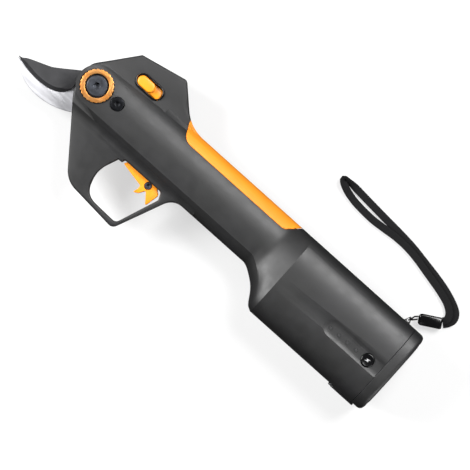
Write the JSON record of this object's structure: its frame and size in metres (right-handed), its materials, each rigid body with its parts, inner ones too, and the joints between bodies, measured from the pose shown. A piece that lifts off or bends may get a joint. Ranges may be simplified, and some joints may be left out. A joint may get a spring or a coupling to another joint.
{
  "type": "electric pruner",
  "caption": "Cordless bypass pruner: coated cutting blade on a steel hook jaw, finger guard with trigger, barrel grip with soft pad, built-in battery, wrist strap.",
  "frame": {"origin": "below the middle of the tool, strap left out, on the surface that the battery section's right-hand flat lies on", "axes": "+X from the blades to the butt, +Y from the finger guard to the back of the grip, +Z out of the left side, up"},
  "size_m": [0.3253, 0.1263, 0.0465],
  "materials": {
    "shell_plastic": "matte, fine moulded texture",
    "orange_grip": "satin soft-touch",
    "orange_plastic": "satin",
    "black_trim": "gloss",
    "anodised_ring": "satin anodised",
    "coated_blade": "low-friction coating",
    "jaw_steel": "ground",
    "black_steel": "black oxide",
    "bush_brass": "turned",
    "circuit_board": "solder mask",
    "cell_sleeve": "shrink sleeve",
    "light_pipe": "clear, unlit",
    "strap_webbing_weave": "woven",
    "strap_cord_braid": "braided"
  },
  "bodies": {
    "housing": {"left_housing": "shell_plastic", "right_housing": "shell_plastic", "end_cap": "shell_plastic", "grip_pad": "orange_grip", "status_window": "black_trim", "slider_bezel": "black_trim", "strap_anchor": "black_trim", "strap_ferrule": "black_trim", "power_switch": "black_trim", "cell_holder_front": "black_trim", "cell_holder_rear": "black_trim", "adjusting_ring": "anodised_ring", "hook_blade": "jaw_steel", "thrust_washer": "jaw_steel", "charge_socket": "jaw_steel", "motor": "jaw_steel", "pinion_bearing": "jaw_steel", "trigger_spring": "jaw_steel", "flap_pin": "jaw_steel", "pivot_bolt": "black_steel", "pivot_nut": "black_steel", "lock_screw": "black_steel", "trigger_screw": "black_steel", "gearbox": "black_steel", "hook_screw_1": "black_steel", "hook_screw_2": "black_steel", "housing_screw_1": "black_steel", "housing_screw_2": "black_steel", "housing_screw_3": "black_steel", "housing_screw_4": "black_steel", "housing_screw_5": "black_steel", "housing_screw_6": "black_steel", "cap_screw_1": "black_steel", "cap_screw_2": "black_steel", "cap_screw_3": "black_steel", "cap_screw_4": "black_steel", "control_board": "circuit_board", "sensor_board": "circuit_board", "battery_board": "circuit_board", "led_board": "circuit_board", "battery_cell_1": "cell_sleeve", "battery_cell_2": "cell_sleeve", "battery_cell_3": "cell_sleeve", "battery_cell_4": "cell_sleeve", "gauge_light_1": "light_pipe", "gauge_light_2": "light_pipe", "gauge_light_3": "light_pipe", "gauge_light_4": "light_pipe", "strap_webbing": "strap_webbing_weave", "strap_cord": "strap_cord_braid"},
    "blade": {"cutting_blade": "coated_blade", "blade_bushing": "bush_brass"},
    "pinion": {"drive_pinion": "jaw_steel"},
    "trigger": {"trigger": "orange_plastic", "trigger_magnet": "jaw_steel"},
    "slider": {"power_slider": "orange_plastic"},
    "button": {"charge_button": "black_trim"},
    "flap": {"charge_flap": "black_trim"}
  },
  "joints": [
    {"name": "blade_pivot", "type": "hinge", "parent": "housing", "child": "blade", "pos_m": [-0.1051, 0.0101, 0.0187], "axis": [0, 0, -1], "range_deg": [0, 48]},
    {"name": "pinion_spin", "type": "hinge", "parent": "housing", "child": "pinion", "pos_m": [-0.084, 0.0101, 0.0252], "axis": [1, 0, 0], "range_deg": [-253, 0]},
    {"name": "trigger_pull", "type": "hinge", "parent": "housing", "child": "trigger", "pos_m": [-0.0389, -0.0157, 0.023], "axis": [0, 0, -1], "range_deg": [0, 10], "stiffness_Nm_per_rad": 0.05, "springref_deg": -22.92, "deforming": ["trigger_spring"]},
    {"name": "power_slide", "type": "slide", "parent": "housing", "child": "slider", "axis": [1, 0, 0], "range_m": [0, 0.005]},
    {"name": "charge_button_press", "type": "slide", "parent": "housing", "child": "button", "axis": [0, 0, -1], "range_m": [0, 0.0006], "stiffness_N_per_m": 300, "springref_m": -0.002},
    {"name": "charge_flap_hinge", "type": "hinge", "parent": "housing", "child": "flap", "pos_m": [0.1322, -0.0319, 0.023], "axis": [0, 0, -1], "range_deg": [0, 100]}
  ],
  "couplings": [
    {"joint": "pinion_spin", "follows": "blade_pivot", "ratio": -5.25}
  ]
}
